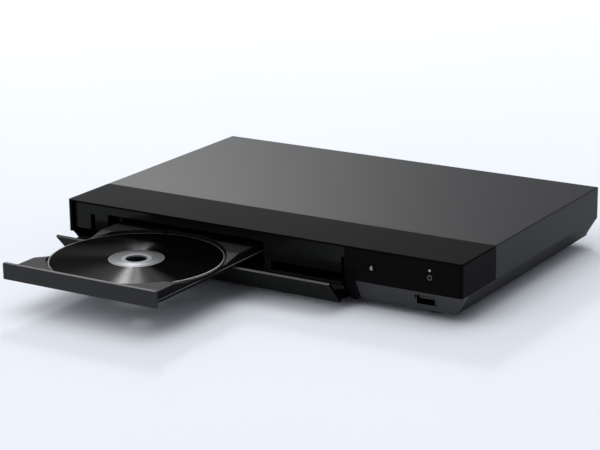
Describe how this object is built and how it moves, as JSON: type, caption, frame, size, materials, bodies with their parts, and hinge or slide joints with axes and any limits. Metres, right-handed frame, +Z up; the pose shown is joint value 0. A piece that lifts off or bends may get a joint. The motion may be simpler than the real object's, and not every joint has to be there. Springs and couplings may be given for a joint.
{
  "type": "blu-ray player",
  "caption": "Slim front-loading disc player with a tray, a drop-down front flap, push buttons and rear sockets.",
  "frame": {"origin": "on the table, under the middle of the whole box with the tray out", "axes": "+X to the right seen from the front, +Y from the front to the back, +Z up"},
  "size_m": [0.32, 0.336, 0.045],
  "materials": {
    "dark_painted_steel": "satin",
    "gloss_black_plastic": "gloss",
    "matte_black_plastic": "matte",
    "black_moulded_plastic": "matte",
    "dark_grey_plastic": "satin",
    "flap_plastic": "satin",
    "galvanised_steel": "satin",
    "foot_rubber": "matte",
    "clear_lens": "clear",
    "circuit_board": "satin",
    "socket_steel": "bright",
    "jack_plastic": "satin",
    "inlet_plastic": "satin",
    "sink_aluminium": "satin",
    "transformer_tape": "satin",
    "capacitor_sleeve": "satin",
    "loader_plastic": "matte",
    "tray_plastic": "satin",
    "tray_front_plastic": "satin",
    "disc_plastic": "mirror gloss",
    "gear_nylon": "satin",
    "pulley_brass": "satin",
    "motor_steel": "satin",
    "belt_rubber": "matte",
    "traverse_plastic": "matte",
    "polished_steel": "polished",
    "turntable_plastic": "matte",
    "sled_alloy": "cast",
    "pickup_glass": "clear",
    "cable_film": "satin",
    "zinc_screws": "satin"
  },
  "bodies": {
    "cabinet": {"top_cover": "dark_painted_steel", "front_housing": "gloss_black_plastic", "recess_panel": "matte_black_plastic", "lower_case": "black_moulded_plastic", "lower_front_strip": "dark_grey_plastic", "flap_moulding": "matte_black_plastic", "rear_panel": "galvanised_steel", "foot_front_left": "foot_rubber", "foot_front_right": "foot_rubber", "foot_rear_left": "foot_rubber", "foot_rear_right": "foot_rubber", "lamp_lens": "clear_lens", "front_board": "circuit_board", "usb_board": "circuit_board", "main_board": "circuit_board", "power_board": "circuit_board", "usb_socket": "socket_steel", "hdmi_socket_1": "socket_steel", "hdmi_socket_2": "socket_steel", "lan_socket": "socket_steel", "coax_jack": "jack_plastic", "mains_inlet": "inlet_plastic", "heat_sink": "sink_aluminium", "transformer": "transformer_tape", "mains_capacitor": "capacitor_sleeve", "output_capacitors": "capacitor_sleeve", "loader_frame": "loader_plastic", "loading_motor": "motor_steel", "belt": "belt_rubber", "clamp_bridge": "galvanised_steel", "flat_cable": "cable_film", "board_screws": "zinc_screws", "loader_screws": "zinc_screws", "rear_screws": "zinc_screws"},
    "flap": {"flap": "flap_plastic"},
    "tray": {"tray": "tray_plastic", "tray_front": "tray_front_plastic"},
    "disc": {"disc": "disc_plastic"},
    "power_button": {"power_button": "gloss_black_plastic"},
    "eject_button": {"eject_button": "gloss_black_plastic"},
    "drive_gear": {"drive_gear": "gear_nylon"},
    "pulley_gear": {"pulley_gear": "gear_nylon"},
    "motor_pulley": {"motor_pulley": "pulley_brass"},
    "lift_cam": {"lift_cam": "gear_nylon"},
    "traverse": {"traverse_frame": "traverse_plastic", "guide_rods": "polished_steel", "spindle_motor": "motor_steel", "sled_motor": "motor_steel"},
    "turntable": {"turntable": "turntable_plastic"},
    "pickup": {"pickup_sled": "sled_alloy", "pickup_lens": "pickup_glass"},
    "lead_screw": {"lead_screw": "polished_steel"},
    "clamp": {"clamp_puck": "turntable_plastic", "clamp_magnet": "motor_steel"}
  },
  "joints": [
    {"name": "flap_hinge", "type": "hinge", "parent": "cabinet", "child": "flap", "pos_m": [-0.04245, -0.0317, 0.0078], "axis": [1, 0, 0], "range_deg": [0, 8], "stiffness_Nm_per_rad": 0.02, "springref_deg": -34.38},
    {"name": "tray_slide", "type": "slide", "parent": "cabinet", "child": "tray", "axis": [0, 1, 0], "range_m": [0, 0.127]},
    {"name": "disc_spin", "type": "hinge", "parent": "tray", "child": "disc", "pos_m": [-0.0603, -0.1026, 0.0294], "axis": [0, 0, 1], "continuous": true},
    {"name": "power_button_press", "type": "slide", "parent": "cabinet", "child": "power_button", "axis": [0, 1, 0], "range_m": [0, 0.0006], "stiffness_N_per_m": 400},
    {"name": "eject_button_press", "type": "slide", "parent": "cabinet", "child": "eject_button", "axis": [0, 1, 0], "range_m": [0, 0.0006], "stiffness_N_per_m": 400},
    {"name": "drive_gear_spin", "type": "hinge", "parent": "cabinet", "child": "drive_gear", "pos_m": [-0.1036, -0.017, 0.022], "axis": [0, 0, 1], "range_deg": [-735, 5]},
    {"name": "pulley_gear_spin", "type": "hinge", "parent": "cabinet", "child": "pulley_gear", "pos_m": [-0.0826, -0.017, 0.022], "axis": [0, 0, 1], "range_deg": [-5, 2345]},
    {"name": "motor_pulley_spin", "type": "hinge", "parent": "cabinet", "child": "motor_pulley", "pos_m": [-0.0526, -0.017, 0.022], "axis": [0, 0, 1], "range_deg": [-5, 7335]},
    {"name": "traverse_tilt", "type": "hinge", "parent": "cabinet", "child": "traverse", "pos_m": [-0.0603, 0.104, 0.017], "axis": [-1, 0, 0], "range_deg": [0, 4.5]},
    {"name": "lift_cam_slide", "type": "slide", "parent": "cabinet", "child": "lift_cam", "axis": [1, 0, 0], "range_m": [0, 0.01201]},
    {"name": "turntable_spin", "type": "hinge", "parent": "traverse", "child": "turntable", "pos_m": [-0.0603, 0.0239, 0.02022], "axis": [0, -0.0785, 0.9969], "continuous": true},
    {"name": "pickup_slide", "type": "slide", "parent": "traverse", "child": "pickup", "axis": [0, 0.9969, 0.0785], "range_m": [0, 0.036]},
    {"name": "lead_screw_spin", "type": "hinge", "parent": "traverse", "child": "lead_screw", "pos_m": [-0.0323, 0.06376, 0.01845], "axis": [0, 0.9969, 0.0785], "range_deg": [-5, 4330]},
    {"name": "clamp_spin", "type": "hinge", "parent": "cabinet", "child": "clamp", "pos_m": [-0.0603, 0.0244, 0.036], "axis": [0, 0, 1], "continuous": true}
  ],
  "couplings": [
    {"joint": "drive_gear_spin", "follows": "tray_slide", "rad_per_m": -100},
    {"joint": "pulley_gear_spin", "follows": "tray_slide", "rad_per_m": 320},
    {"joint": "motor_pulley_spin", "follows": "tray_slide", "rad_per_m": 1005.7},
    {"joint": "lift_cam_slide", "follows": "traverse_tilt", "m_per_rad": 0.15279},
    {"joint": "lead_screw_spin", "follows": "pickup_slide", "rad_per_m": 2094.4}
  ]
}
